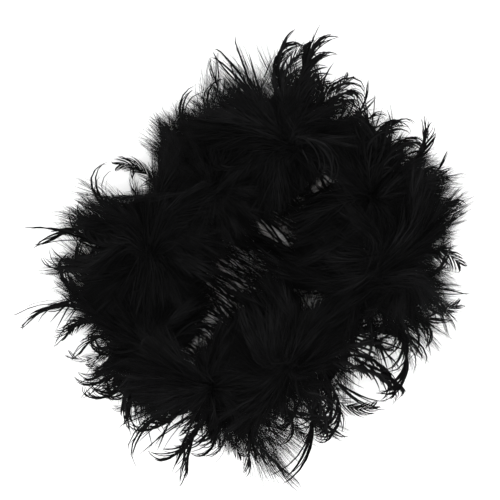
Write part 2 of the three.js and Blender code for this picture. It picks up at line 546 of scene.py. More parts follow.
class FeatherStock:
    """Feathers ready to be bound: a few different ones of each kind."""

    VARIANTS = 4
    SHAFT_STEPS = 10
    SHAFT_SIDES = 4
    SHAFT_TAPER = 0.85

    def __init__(self) -> None:
        """Makes the single shaft and barbs, then every feather from copies of them."""
        self.shaft = self.make_shaft()
        self.barbs = {pattern.steps: self.make_barb(pattern.steps) for pattern in PATTERNS.values()}
        self.feathers: dict[FeatherKind, list[Feather]] = {}
        for number, (kind, pattern) in enumerate(PATTERNS.items()):
            self.feathers[kind] = [
                self.make_feather(kind, pattern, np.random.default_rng(100 * number + variant))
                for variant in range(self.VARIANTS)
            ]

    @staticmethod
    def make_barb(steps: int) -> Mesh:
        """Makes one barb, a ribbon one long that comes to a point, its width from -1 to 1."""
        ribbon = bmesh.new()
        bmesh.ops.create_grid(ribbon, x_segments=1, y_segments=steps, size=1.0)
        bmesh.ops.translate(ribbon, verts=ribbon.verts, vec=(0, 1, 0))
        bmesh.ops.scale(ribbon, verts=ribbon.verts, vec=(1, 0.5, 1))
        tip = [v for v in ribbon.verts if v.co.y > 1 - 1e-4]
        bmesh.ops.pointmerge(ribbon, verts=tip, merge_co=(0, 1, 0))
        for face in ribbon.faces:
            face.smooth = True
            face.material_index = 1
        return mesh_from("barb", ribbon)

    def make_shaft(self) -> Mesh:
        """Makes one closed shaft along +Y, one long and one in radius."""
        rod = rod_of(self.SHAFT_SIDES, self.SHAFT_STEPS - 1)
        bmesh.ops.rotate(rod, verts=rod.verts, matrix=Matrix.Rotation(-math.pi / 2, 3, "X"))
        for face in rod.faces:
            face.smooth = True
            face.material_index = 0
        return mesh_from("shaft", rod)

    def make_feather(self, kind: FeatherKind, pattern: FeatherPattern, random: Random) -> Feather:
        """Builds one feather from a shaft and its barbs.

        Args:
            kind: The kind of feather.
            pattern: Its sizes.
            random: The source of its differences from its neighbours.

        Returns:
            The feather, whose vertices are the shaft's and then each barb's.
        """
        barb = self.barbs[pattern.steps]
        mesh = copies_of(kind.name.lower(), [self.shaft] + [barb] * pattern.barbs)
        rod = places_of(self.shaft)
        taper = pattern.shaft_width / 2 * (1 - self.SHAFT_TAPER * rod[:, 1])
        shaft = np.stack([rod[:, 0] * taper, rod[:, 1] * pattern.shaft, rod[:, 2] * taper], axis=1)
        ribbon = places_of(barb)
        barbs = self.barb_places(ribbon, pattern, random)
        shape = np.concatenate([shaft, barbs.reshape(-1, 3)])
        fibre = np.zeros((len(shape), 3))
        fibre[:, 0] = np.clip(shape[:, 1] / (pattern.shaft + pattern.barb_lengths[1]), 0, 1)
        fibre[len(shaft) :, 1] = np.tile(ribbon[:, 1], pattern.barbs)
        # Each barb's share of painted sheen, at random.
        fibre[len(shaft) :, 2] = np.repeat(random.random(pattern.barbs) ** 2, len(ribbon))
        return Feather(mesh, shape, fibre, float(shape[:, 1].max()))

    def barb_places(self, ribbon: Array, pattern: FeatherPattern, random: Random) -> Array:
        """Works out where every vertex of every barb goes.

        Args:
            ribbon: The single barb's vertices.
            pattern: The feather's sizes.
            random: The source of chance.

        Returns:
            An array of barbs by vertices by three.
        """
        count = pattern.barbs
        share = np.sort(random.uniform(0, 1, count)) ** 0.9
        root = pattern.shaft * (pattern.first_barb + (1 - pattern.first_barb) * share)
        side = np.where(np.arange(count) % 2 == 0, 1.0, -1.0)
        roll = random.normal(0, 1.2, count) * pattern.roundness
        vary = random.uniform(0.75, 1.25, (3, count))
        leave = np.radians(np.interp(share, (0, 1), pattern.leave_angles)) * vary[0]
        end = np.radians(np.interp(share, (0, 1), pattern.tip_angles)) * vary[1]
        length = np.interp(share, (0, 1), pattern.barb_lengths) * vary[2] ** 0.6
        steps = np.linspace(0, 1, pattern.steps + 1)
        angle = side[:, None] * (leave[:, None] + (end - leave)[:, None] * steps[None, :])
        angle += math.radians(pattern.sweep) * random.uniform(0.5, 1.3, count)[:, None] * steps
        middle = (angle[:, 1:] + angle[:, :-1]) / 2
        stride = (length / pattern.steps)[:, None]
        start = np.zeros((count, 1))
        out = np.concatenate([start, np.cumsum(np.sin(middle) * stride, 1)], 1)
        forward = np.concatenate([start, np.cumsum(np.cos(middle) * stride, 1)], 1)
        across = np.stack([np.cos(roll), np.zeros(count), np.sin(roll)], axis=1)
        line = out[..., None] * across[:, None, :]
        line[..., 1] += root[:, None] + forward
        self.cling_together(line, pattern, side, random)
        sway = random.normal(0, 1, (count, 3)) * pattern.wave
        beat = np.sin(steps * random.uniform(3, 6, count)[:, None]) * steps[None, :]
        line = line + sway[:, None, :] * beat[..., None]
        if pattern.blunt:
            line[..., 1] = np.minimum(line[..., 1], pattern.shaft + 0.4 * pattern.barb_lengths[1])
        return self.widened(line, ribbon, pattern, random)

    @staticmethod
    def cling_together(line: Array, pattern: FeatherPattern, side: Array, random: Random) -> None:
        """Draws the tips of neighbouring barbs together into locks, in place."""
        lock = np.arange(len(line)) // (2 * pattern.lock_size) * 2 + (side > 0)
        steps = np.linspace(0, 1, line.shape[1])[None, :, None] ** 1.6
        for number in np.unique(lock):
            members = lock == number
            point = line[members, -1].mean(axis=0) + random.normal(0, 1.5, 3) * (1, 2, 1)
            line[members] += (point - line[members, -1])[:, None, :] * pattern.cling * steps

    @staticmethod
    def widened(line: Array, ribbon: Array, pattern: FeatherPattern, random: Random) -> Array:
        """Gives each barb's centreline its width, at its own turn about itself."""
        row = np.rint(ribbon[:, 1] * pattern.steps).astype(int)
        direction = unit(np.gradient(line, axis=1))
        lean = unit(random.normal(0, 1, (len(line), 1, 3)) * (pattern.roundness + 0.25) + UP)
        across = unit(np.cross(direction, lean))
        width = pattern.barb_width / 2 * (1 - (1 - pattern.tip_width) * ribbon[:, 1])
        width = width[None, :] * random.uniform(0.7, 1.2, (len(line), 1))
        return line[:, row] + across[:, row] * (ribbon[None, :, 0] * width)[..., None]


class FeatherMix:
    """The share of each kind of feather, for places between soft and curly."""

    SOFT = {PLUME: 0.64, LOCK: 0.315, CLAW: 0.015, BLADE: 0.02, STRAND: 0.01}
    CURLY = {PLUME: 0.28, LOCK: 0.26, CLAW: 0.25, BLADE: 0.02, STRAND: 0.19}

    @classmethod
    def choose(cls, curly: float, random: Random) -> FeatherKind:
        """Picks a kind for a place that is soft at 0 and curly at 1."""
        kinds = list(cls.SOFT)
        shares = np.array([cls.SOFT[k] * (1 - curly) + cls.CURLY[k] * curly for k in kinds])
        return kinds[random.choice(len(kinds), p=shares / shares.sum())]


# ---- Tufts ----


class Side(Enum):
    """Which way the feathers of a fan go in plan, as the middle angle from the outward side."""

    OUTWARD = 0.0
    AHEAD = 90.0
    INWARD = 180.0
    BEHIND = 270.0
    ROUND = 360.0


@dataclass(frozen=True)
class Fan:
    """Feathers of one tuft that leave the binding together.

    Angles are in degrees: the spread is in plan each way from the middle, how much of it is left
    at the tips is the gather, and the lifts are above level, where a feather leaves the cord and at
    its tip. The lean is how far, in millimetres in plan, a fan stands off its binding. The
    feathers of a fan that goes across head over the seam side by side.
    """

    side: Side
    count: int
    spread: float
    gather: float
    lift: tuple[float, float]
    settle: tuple[float, float]
    reach: tuple[float, float] = (0.84, 1.06)
    lean: tuple[float, float] = (0.0, 0.0)
    kind: FeatherKind | None = None
    across: bool = False


SIDEWAYS = tuple(
    Fan(side, 9, 32, 0.8, (5, 50), (-12, 0), (0.75, 0.95)) for side in (Side.AHEAD, Side.BEHIND)
)
BOTTOM_FANS = (
    Fan(Side.OUTWARD, 56, 86, 0.85, (-62, 55), (-5, 7)),
    Fan(Side.INWARD, 34, 74, 0.22, (-62, 45), (-10, 0), (0.86, 1.03)),
    Fan(Side.INWARD, 8, 20, 0.2, (-20, 30), (-12, -4), (1.1, 1.5), kind=STRAND, across=True),
    Fan(Side.INWARD, 9, 20, 0.2, (-20, 30), (-12, -4), (1.0, 1.35), kind=LOCK, across=True),
    *SIDEWAYS,
)
MIDDLE_FANS = (
    Fan(Side.OUTWARD, 46, 86, 0.85, (-40, 45), (-22, 4)),
    Fan(Side.INWARD, 24, 74, 0.22, (-40, 40), (-24, -4), (0.8, 1.0)),
    Fan(Side.INWARD, 5, 20, 0.2, (-20, 30), (-24, -8), (1.0, 1.3), kind=LOCK, across=True),
    *SIDEWAYS,
)
TOP_FANS = (
    Fan(Side.OUTWARD, 44, 86, 0.85, (-25, 60), (-42, -2), (0.8, 1.02)),
    Fan(Side.INWARD, 20, 74, 0.24, (-25, 60), (-38, -8), (0.84, 1.0)),
    Fan(Side.AHEAD, 16, 34, 0.9, (10, 60), (-14, 0), (0.75, 1.0)),
    Fan(Side.BEHIND, 16, 34, 0.9, (10, 60), (-14, 0), (0.75, 1.0)),
)
LOW_CROWN = Fan(Side.ROUND, 40, 180, 1.0, (25, 70), (-34, -4), (0.8, 1.04))
END_COVER = Fan(Side.AHEAD, 44, 44, 0.9, (35, 75), (-10, 6), (0.85, 1.1), kind=PLUME)
FULL_CROWN = Fan(Side.ROUND, 84, 180, 1.0, (50, 88), (-30, 2), (0.94, 1.2))
CROWN_LEANS = {17: (17.0, 20.0), 19: (-3.0, 22.0), 21: (40.0, -8.0), 22: (-27.0, -10.0)}


@dataclass(frozen=True)
class BoundFeather:
    """One feather tied to the cord: its root, its directions, and how it bends.

    The directions are unit vectors where it leaves the cord and at its tip. The hook is a turn in
    plan, in degrees, that comes only near the tip, and the lean a shift in plan in millimetres.
    """

    feather: Feather
    root: Array
    leaves: Array
    ends: Array
    scale: float
    roll: float
    hook: float
    lean: Array
    # This feather's share of painted sheen.
    painted_sheen_share: float


@dataclass(frozen=True)
class Stray:
    """One stiff curled feather that stands out of the fringe of its tuft, the first tuft being 0.

    It heads for a point in plan, in millimetres, and its hook is a turn in plan, in degrees
    anticlockwise, that comes near the tip.
    """

    tuft: int
    kind: FeatherKind
    toward: tuple[float, float]
    reach: float
    hook: float


SOFT_FAN = (-112, -101, -90, -79, -68)
STRAYS = (
    Stray(19, CLAW, (152, 108), 100, -24),
    Stray(19, CLAW, (148, 112), 106, -56),
    Stray(19, STRAND, (150, 110), 94, 30),
    Stray(19, CLAW, (158, 106), 88, 26),
    Stray(11, CLAW, (152, 114), 96, -70),
    Stray(13, CLAW, (50, -133), 122, -112),
    Stray(13, STRAND, (54, -133), 104, -96),
    Stray(5, STRAND, (72, -130), 88, -66),
    Stray(14, STRAND, (-24, -140), 80, 96),
    Stray(14, CLAW, (-30, -138), 88, -96),
    Stray(6, STRAND, (-44, -140), 86, -120),
    Stray(7, STRAND, (-128, -76), 72, -84),
    Stray(7, CLAW, (-132, -66), 88, -60),
    Stray(15, STRAND, (-124, -84), 68, -88),
    Stray(15, CLAW, (-140, -60), 86, 76),
    Stray(8, STRAND, (-160, -12), 70, -110),
    Stray(16, CLAW, (-160, 2), 72, 100),
    Stray(16, CLAW, (-160, -24), 64, -60),
    Stray(16, STRAND, (-160, -34), 72, 70),
    Stray(16, CLAW, (-168, -12), 66, 44),
    Stray(8, CLAW, (-158, -20), 62, 80),
    Stray(8, STRAND, (-165, -8), 64, -90),
    Stray(15, CLAW, (-152, -40), 76, -70),
    Stray(7, CLAW, (-150, -30), 74, 90),
    Stray(7, STRAND, (-156, -44), 74, 60),
    Stray(23, CLAW, (-160, -40), 78, -50),
    Stray(23, CLAW, (-148, -60), 74, 60),
    Stray(9, CLAW, (-130, 92), 92, 34),
    Stray(1, CLAW, (-128, 104), 104, -40),
    Stray(11, CLAW, (150, 60), 78, 124),
    Stray(11, BLADE, (157, 62), 78, 6),
    Stray(20, STRAND, (152, 12), 74, 150),
    Stray(3, STRAND, (158, 44), 72, -132),
    Stray(12, CLAW, (160, 8), 72, -104),
    *(Stray(15, PLUME, (x, -140), 92 + x % 5, 4) for x in SOFT_FAN),
    *(Stray(7, PLUME, (x - 5, -140), 94 - x % 4, -4) for x in SOFT_FAN[::2]),
)


class Tuft:
    """One bundle of feathers, bound to its stretch of the cord."""

    LIMITS = np.array([[-186.0, -160.0, 0.6], [186.0, 160.0, 161.0]])
    SOFT = np.array([12.0, 12.0, 12.0])
    FLOOR_SOFT = np.array([12.0, 12.0, 1.5])
    SAMPLES = 16
    ROOT_SPREAD = 6.0
    CORD_RADIUS = 1.8
    SCALES = (0.5, 1.6)
    INWARD_MOST = 90.0
    THINNING = 0.45
    SOFT_FRINGE = 0.07
    SEED = 7000
    DRIFT = 12.0
    ROLL = 60.0
    CURL_AT = 60.0
    CURLY_VARIES = (0.7, 1.2)
    STIFF_FRINGE = (0.1, 1.1)
    STRAY_LIFTS = (35.0, 0.0)
    STRAY_ROLL = 30.0
    CURLY_SHORTER = 0.2
    CURLY_ELSEWHERE = 0.35
    ACROSS = -70.0
    ACROSS_DRIFT = 1 / 3
    ACROSS_HOOK = 0.3
    EVEN_OUT = 36.0
    SOFT_HOOKS = (0.0, 22.0)
    HOOKS = (40.0, 140.0)
    HOOK_LATE = 2.4
    BEND_SOON = 2.2
    LEAN_BY = 0.4
    # How much of each barb's painted sheen is its own; the rest is its feather's.
    PAINTED_SHEEN_BY_BARB = 0.35

    def __init__(
        self,
        route: CoilRoute,
        outline: Outline,
        stock: FeatherStock,
        index: int,
        fans: tuple[Fan, ...],
    ) -> None:
        """Takes the tuft's place on the route and how it is dressed."""
        self.route, self.outline, self.stock = route, outline, stock
        self.index, self.fans = index, fans
        self.random = np.random.default_rng(self.SEED + index)
        self.middle = route.tuft_start(index) + route.PITCH / 2

    def chosen(self) -> list[BoundFeather]:
        """Chooses every feather of the tuft, fan by fan, fewer where the fringe is curly."""
        bound = []
        for fan in self.fans:
            for _ in range(fan.count):
                feather = self.bind(fan)
                if feather is not None:
                    bound.append(feather)
        bound.extend(self.bind_stray(stray) for stray in STRAYS if stray.tuft == self.index)
        return bound

    def bind_stray(self, stray: Stray) -> BoundFeather:
        """Binds one stray and bends it as its entry says."""
        feather = self.stock.feathers[stray.kind][int(self.random.integers(FeatherStock.VARIANTS))]
        root = self.route.at(self.middle)
        level = unit(np.array([*stray.toward, 0.0]) - root * (1, 1, 0))
        rise, settle = np.radians(self.STRAY_LIFTS)
        return BoundFeather(
            feather,
            root,
            math.cos(rise) * level + math.sin(rise) * UP,
            math.cos(settle) * level + math.sin(settle) * UP,
            stray.reach / feather.reach,
            self.random.uniform(-1, 1) * self.STRAY_ROLL,
            stray.hook,
            np.zeros(3),
            # Its share of painted sheen.
            self.random.random(),
        )

    def bind(self, fan: Fan) -> BoundFeather | None:
        """Chooses one feather of a fan and works out how it is bound and bent.

        Args:
            fan: The fan that the feather belongs to.

        Returns:
            The bound feather, or nothing where the fringe is left thin.
        """
        random, outline = self.random, self.outline
        along = self.middle + random.uniform(-1, 1) * self.ROOT_SPREAD
        root = self.route.at(along)
        turn = random.uniform(-1, 1) * fan.spread
        drift = random.uniform(-self.DRIFT, self.DRIFT)
        start = self.level(along, fan.side.value + turn)
        level = self.level(along, fan.side.value + turn * fan.gather + drift)
        lean = np.array([*fan.lean, 0.0])
        if fan.across:
            level = self.across(root, drift * self.ACROSS_DRIFT)
            lean = self.route.heading(along) * (1, 1, 0) * random.uniform(-1, 1) * self.EVEN_OUT
        place = root + lean
        curly = float(outline.around(outline.CURLY, place + self.CURL_AT * level))
        inner = float(level @ root) < 0
        if fan.side is not Side.OUTWARD:
            curly *= self.CURLY_ELSEWHERE
        kind = fan.kind or FeatherMix.choose(
            0.0 if inner else min(curly * random.uniform(*self.CURLY_VARIES), 1.0), random
        )
        soft = kind in (PLUME, LOCK)
        if soft and not inner and random.random() < self.THINNING * curly:
            return None
        feather = self.stock.feathers[kind][int(random.integers(FeatherStock.VARIANTS))]
        vary = random.uniform(*fan.reach)
        if fan.side is Side.INWARD:
            room = min(outline.room_inside(place, level), self.INWARD_MOST) * vary
        else:
            room = self.room_outward(place, level, curly if soft else None, vary)
        if fan.side not in (Side.OUTWARD, Side.INWARD):
            room = min(room, feather.reach * vary)
        if inner and fan.side is Side.ROUND:
            room = min(room, outline.room_inside(place, level) * min(vary, 1.0))
        hook = random.uniform(*(self.SOFT_HOOKS if soft else self.HOOKS))
        rise, settle = (math.radians(random.uniform(*span)) for span in (fan.lift, fan.settle))
        return BoundFeather(
            feather,
            root,
            math.cos(rise) * start + math.sin(rise) * UP,
            math.cos(settle) * level + math.sin(settle) * UP,
            float(np.clip(room / feather.reach, *self.SCALES)),
            random.uniform(-self.ROLL, self.ROLL),
            hook * random.choice((-1, 1)) * (self.ACROSS_HOOK if fan.across else 1),
            lean,
            # Its share of painted sheen.
            random.random() ** 2,
        )

    def room_outward(self, place: Array, level: Array, curly: float | None, vary: float) -> float:
        """Works out how long a feather that heads for the outline may be.

        Args:
            place: Where its line starts in plan.
            level: Its level direction.
            curly: How curly its part of the fringe is, or nothing for a stiff feather.
            vary: The share of the room that a feather inside the fringe takes.

        Returns:
            The room for it, in millimetres.
        """
        random, outline = self.random, self.outline
        soft = curly is not None
        far = random.random() < self.SOFT_FRINGE if soft else random.uniform(*self.STIFF_FRINGE)
        tips = outline.room_outside(place, level, outline.TIPS)
        fringe = outline.room_outside(place, level, outline.FRINGE)
        room = (tips + (fringe - tips) * far) * (1.0 if far else vary)
        return room * (1 - self.CURLY_SHORTER * curly) if soft else room

    def across(self, root: Array, drift: float) -> Array:
        """Gives the level direction across the seam from a root, the same for every tuft."""
        away = math.radians(self.ACROSS + drift) + (math.pi if root[1] < 0 else 0.0)
        return np.array([math.cos(away), math.sin(away), 0.0])

    def level(self, along: float, azimuth: float) -> Array:
        """Gives the level direction at an azimuth from the outward side, in degrees."""
        ahead = unit(self.route.heading(along) * (1, 1, 0))
        turn = math.radians(azimuth)
        return math.cos(turn) * np.cross(UP, ahead) + math.sin(turn) * ahead

    def laid(self, bound: BoundFeather) -> Array:
        """Bends one feather from its binding out to its tip.

        Args:
            bound: The feather and how it is bound.

        Returns:
            The places of its vertices.
        """
        shape = bound.feather.shape * bound.scale
        reach = bound.feather.reach * bound.scale
        steps = np.linspace(0, 1, self.SAMPLES)[:, None]
        bend = np.sin(np.minimum(steps * self.BEND_SOON, 1) * math.pi / 2)
        direction = unit(bound.leaves * (1 - bend) + bound.ends * bend + 1e-6)
        turn = np.radians(bound.hook) * steps**self.HOOK_LATE
        sideways = np.stack([-direction[:, 1], direction[:, 0], np.zeros(self.SAMPLES)], axis=1)
        flat = np.cos(turn) * direction + np.sin(turn) * sideways
        direction = unit(np.concatenate([flat[:, :2], direction[:, 2:]], axis=1))
        stride = reach / (self.SAMPLES - 1)
        line = np.concatenate([np.zeros((1, 3)), np.cumsum(direction[:-1] * stride, axis=0)])
        line += bound.root + direction[0] * self.CORD_RADIUS
        off = np.minimum(steps / self.LEAN_BY, 1)
        line += off * off * (3 - 2 * off) * bound.lean
        direction = unit(np.gradient(line, axis=0))
        tilt = math.radians(bound.roll)
        level = unit(np.cross(direction, UP + 0.01 * bound.ends[[1, 2, 0]]))
        face = np.cross(level, direction)
        across = math.cos(tilt) * level + math.sin(tilt) * face
        normal = np.cross(across, direction)
        place = np.clip(shape[:, 1] / reach, 0, 1) * (self.SAMPLES - 1)
        low = np.minimum(place.astype(int), self.SAMPLES - 2)
        share = (place - low)[:, None]

        def between(values: Array) -> Array:
            """Reads values along the line at each vertex's place."""
            return values[low] * (1 - share) + values[low + 1] * share

        return between(line) + between(across) * shape[:, :1] + between(normal) * shape[:, 2:]

    def pressed(self, points: Array) -> Array:
        """Presses what would pass the floor or the coil's outline softly back inside it."""
        low, high = self.LIMITS
        over = np.maximum(points - (high - self.SOFT), 0)
        under = np.maximum((low + self.FLOOR_SOFT) - points, 0)
        points = points - over + self.SOFT * (1 - np.exp(-over / self.SOFT))
        return points + under - self.FLOOR_SOFT * (1 - np.exp(-under / self.FLOOR_SOFT))

    def build(self, quill: Material, down: Material) -> Object:
        """Builds the tuft's feathers as one piece."""
        bound = self.chosen()
        name = f"tuft_{self.index + 1:02d}_feathers"
        mesh = copies_of(name, [b.feather.mesh for b in bound])
        points = np.concatenate([self.laid(b) for b in bound])
        set_places(mesh, self.pressed(points) * MM)
        # Mixes each barb's and each feather's share of painted sheen.
        own = self.PAINTED_SHEEN_BY_BARB
        fibres = [b.feather.fibre * (1, 1, own) + (0, 0, (1 - own) * b.painted_sheen_share) for b in bound]
        set_fibre(mesh, np.concatenate(fibres))
        return piece_from(name, mesh, quill, down)


# ---- Cord, bindings and ends ----


class RoundTube:
    """A closed round tube along any line, made from one rod with a ring at each point."""

    @staticmethod
    def along(
        name: str,
        line: Array,
        outward: Array,
        radius: float | Array,
        sides: int,
        material: int = 0,
    ) -> Mesh:
        """Makes a tube.

        Args:
            name: The mesh's name.
            line: The points that the tube follows, in millimetres.
            outward: A direction at each point that isn't along the line.
            radius: The tube's radius, one for all points or one for each.
            sides: The number of sides of its section.
            material: The number of its finish.

        Returns:
            The tube's mesh, in millimetres, with its ends capped.
        """
        rod = rod_of(sides, len(line) - 2)
        for face in rod.faces:
            face.smooth = len(face.verts) == 4
            face.material_index = material
        mesh = mesh_from(name, rod)
        section = places_of(mesh)
        row = np.rint(section[:, 2] * (len(line) - 1)).astype(int)
        ahead = unit(np.gradient(line, axis=0))
        side = unit(outward - (outward * ahead).sum(axis=1, keepdims=True) * ahead)
        up = np.cross(ahead, side)
        thick = np.broadcast_to(radius, len(line))[row, None]
        turned = side[row] * section[:, :1] + up[row] * section[:, 1:2]
        set_places(mesh, line[row] + turned * thick)
        return mesh


@dataclass(frozen=True)
class TwistedCord:
    """Three-strand twisted cord: strands laid round the cord's own line."""

    diameter: float
    lay: float
    strands: int = 3
    sides: int = 8
    step: float = 1.5

    @property
    def strand_radius(self) -> float:
        """Gives the radius of one strand, where the strands just touch."""
        return self.diameter / 2 / (1 + 1 / math.sin(math.pi / self.strands))

    def build(self, name: str, line: Array, start: float = 0.0) -> Mesh:
        """Twists the cord along a line.

        Args:
            name: The mesh's name.
            line: The cord's own line, in millimetres.
            start: How far along the whole cord the line starts, so that stretches meet in phase.

        Returns:
            The cord's mesh, in millimetres.
        """
        ahead = unit(np.gradient(line, axis=0))
        level = unit(np.cross(UP, ahead))
        rise = np.cross(ahead, level)
        length = np.concatenate([[0], np.cumsum(np.linalg.norm(np.diff(line, axis=0), axis=1))])
        offset = self.diameter / 2 - self.strand_radius
        strands = []
        for number in range(self.strands):
            turn = 2 * math.pi * ((length + start) / self.lay + number / self.strands)
            outward = np.cos(turn)[:, None] * level + np.sin(turn)[:, None] * rise
            path = line + outward * offset
            strands.append(
                RoundTube.along("strand", path, outward, self.strand_radius * 1.04, self.sides)
            )
        return copies_of(name, strands)


@dataclass(frozen=True)
class Stretch:
    """A length of the core cord, its body, and for a tail its joint and the body before it."""

    node: str
    body: str
    start: float
    end: float
    joint: float | None = None
    inner_body: str = ""


class CoreCord:
    """The twisted cotton cord that carries the tufts, in the stretches that the tails need."""

    SIZE = TwistedCord(diameter=4.0, lay=13.0)
    BEND = 4.0
    POINT_STEP = 1.5

    def __init__(self, route: CoilRoute) -> None:
        """Takes the route."""
        self.route = route

    def stretches(self) -> list[Stretch]:
        """Lists the stretches, from the lower end of the cord to the upper."""
        route = self.route
        first = route.tuft_start(route.TAIL_TUFTS)
        last = route.tuft_start(route.TUFTS - route.TAIL_TUFTS)
        found = []
        for number in range(route.TAIL_TUFTS, 0, -1):
            joint = first - (number - 1) * route.PITCH
            outer = joint - route.PITCH if number < route.TAIL_TUFTS else 0.0
            found.append(self.tail("lower", number, outer, joint, -1))
        found.append(Stretch("core_cord", "coil", first + self.BEND, last - self.BEND))
        for number in range(1, route.TAIL_TUFTS + 1):
            joint = last + (number - 1) * route.PITCH
            outer = joint + route.PITCH if number < route.TAIL_TUFTS else route.LENGTH
            found.append(self.tail("upper", number, outer, joint, 1))
        return found

    def tail(self, level: str, number: int, outer: float, joint: float, sign: int) -> Stretch:
        """Describes one tail's stretch, with its joint and the body before it."""
        inner = "coil" if number == 1 else f"{level}_tail_{number - 1}"
        near = joint - sign * self.BEND
        far = outer - sign * self.BEND if number < self.route.TAIL_TUFTS else outer
        start, end = sorted((near, far))
        node, body = f"{level}_tail_cord_{number}", f"{level}_tail_{number}"
        return Stretch(node, body, start, end, joint, inner)

    def build(self, cotton: Material) -> None:
        for stretch in self.stretches():
            steps = round((stretch.end - stretch.start) / self.POINT_STEP) + 1
            lengths = np.linspace(stretch.start, stretch.end, steps)
            line = self.route.at(lengths)
            name = f"{stretch.node}_yarn"
            piece = piece_from(name, to_metres(self.SIZE.build(name, line, stretch.start)), cotton)
            self.join(piece, stretch)
            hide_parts(stretch.node)
            LOG.info("%s: %.0f mm of cord", piece.name, stretch.end - stretch.start)

    def join(self, piece: Object, stretch: Stretch) -> None:
        """Rides a stretch on its body if it has no joint; else only bakes its transform."""
        if stretch.joint is None:
            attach(piece, stretch.body)
            return
        sign = -1.0 if stretch.start + stretch.end < 2 * stretch.joint else 1.0
        near = self.route.at(stretch.joint - sign * self.BEND) * MM
        far = self.route.at(stretch.joint + sign * self.BEND) * MM
        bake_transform(piece)


@dataclass(frozen=True)
class ThreadBinding:
    """Thread wound tightly round the cord over the feathers' quill ends, then locked."""

    length: float
    inside: float
    layers: int
    quills: int
    thread: float = 0.62
    steps: int = 12
    sides: int = 4
    locking_turns: float = 1.5

    def build(self, name: str, route: CoilRoute, middle: float, random: Random) -> Mesh:
        """Winds the thread and lays the quill ends, if there are any.

        Args:
            name: The mesh's name.
            route: The cord's route.
            middle: The length along the cord at the middle of the binding.
            random: The source of chance.

        Returns:
            The binding's mesh, in millimetres, thread first and then quills.
        """
        parts = []
        for layer in range(self.layers):
            radius = self.inside + (layer + 0.5) * self.thread
            turns = self.length / self.thread
            share = np.linspace(0, 1, int(turns * self.steps))
            parts.append(self.wound(route, middle, radius, share, turns))
        radius = self.inside + (self.layers + 0.3) * self.thread
        share = np.linspace(0.95, 0.05, int(self.locking_turns * self.steps * 3))
        parts.append(self.wound(route, middle, radius, share, self.locking_turns))
        for _ in range(self.quills):
            parts.append(self.quill_end(route, middle, random))
        return copies_of(name, parts)

    def wound(
        self,
        route: CoilRoute,
        middle: float,
        radius: float,
        share: Array,
        turns: float,
    ) -> Mesh:
        """Winds one length of thread round the cord."""
        along = middle + (share - 0.5) * (self.length - self.thread)
        outward = around_cord(route, along, 2 * math.pi * turns * share)
        line = route.at(along) + outward * radius
        return RoundTube.along("thread", line, outward, self.thread / 2, self.sides)

    def quill_end(self, route: CoilRoute, middle: float, random: Random) -> Mesh:
        """Lays one quill end along the cord, under the thread and out past its edges."""
        reach = self.length / 2 + random.uniform(1, 4)
        along = middle + np.linspace(-reach, self.length / 2 + random.uniform(0, 4), 6)
        outward = around_cord(route, along, np.full(6, random.uniform(0, 2 * math.pi)))
        line = route.at(along) + outward * (CoreCord.SIZE.diameter / 2 + 0.42)
        taper = np.array([0.12, 0.34, 0.42, 0.44, 0.44, 0.4])
        return RoundTube.along("quill_end", line, outward, taper, 5, 1)


def around_cord(route: CoilRoute, along: Array, turn: Array) -> Array:
    """Gives the directions that stand out from the cord at an angle round it."""
    ahead = route.heading(along)
    level = unit(np.cross(UP, ahead))
    rise = np.cross(ahead, level)
    return np.cos(turn)[:, None] * level + np.sin(turn)[:, None] * rise


class TyingLoop:
    """A small loop of thinner cord at each end, its two legs held under the whipping."""

    CORD = TwistedCord(diameter=2.8, lay=7.0, sides=6)
    RING = 6.0
    GAP = 0.5
    LEG = 6.0
    OPEN = math.radians(34)
    LEGS_APART = 0.75
    RING_POINTS = 34
    POINTS = 56

    def build(self, name: str, route: CoilRoute, end: float, sign: int) -> Mesh:
        """Bends the loop off one end of the cord.

        Args:
            name: The mesh's name.
            route: The cord's route.
            end: The length along the cord where it ends.
            sign: One at the upper end, minus one at the lower.

        Returns:
            The loop's mesh, in millimetres.
        """
        ahead = unit(route.heading(end) * (1, 1, 0)) * sign
        side = np.cross(UP, ahead)
        centre = route.at(end) + ahead * (self.RING + self.CORD.diameter / 2 + self.GAP)
        turn = np.linspace(math.pi - self.OPEN, -math.pi + self.OPEN, self.RING_POINTS)
        ring = [math.cos(t) * self.RING * ahead + math.sin(t) * self.RING * side for t in turn]
        leg = centre - ahead * (self.RING + self.LEG)
        first, last = leg + side * self.LEGS_APART, leg - side * self.LEGS_APART
        points = np.array([first, *(centre + r for r in ring), last])
        for _ in range(2):
            points[1:-1] = (points[:-2] + 2 * points[1:-1] + points[2:]) / 4
        gaps = np.linalg.norm(np.diff(points, axis=0), axis=1)
        length = np.concatenate([[0], np.cumsum(gaps)])
        even = np.linspace(0, length[-1], self.POINTS)
        line = np.stack([np.interp(even, length, points[:, k]) for k in range(3)], axis=1)
        return self.CORD.build(name, line)


# ---- Studio ----


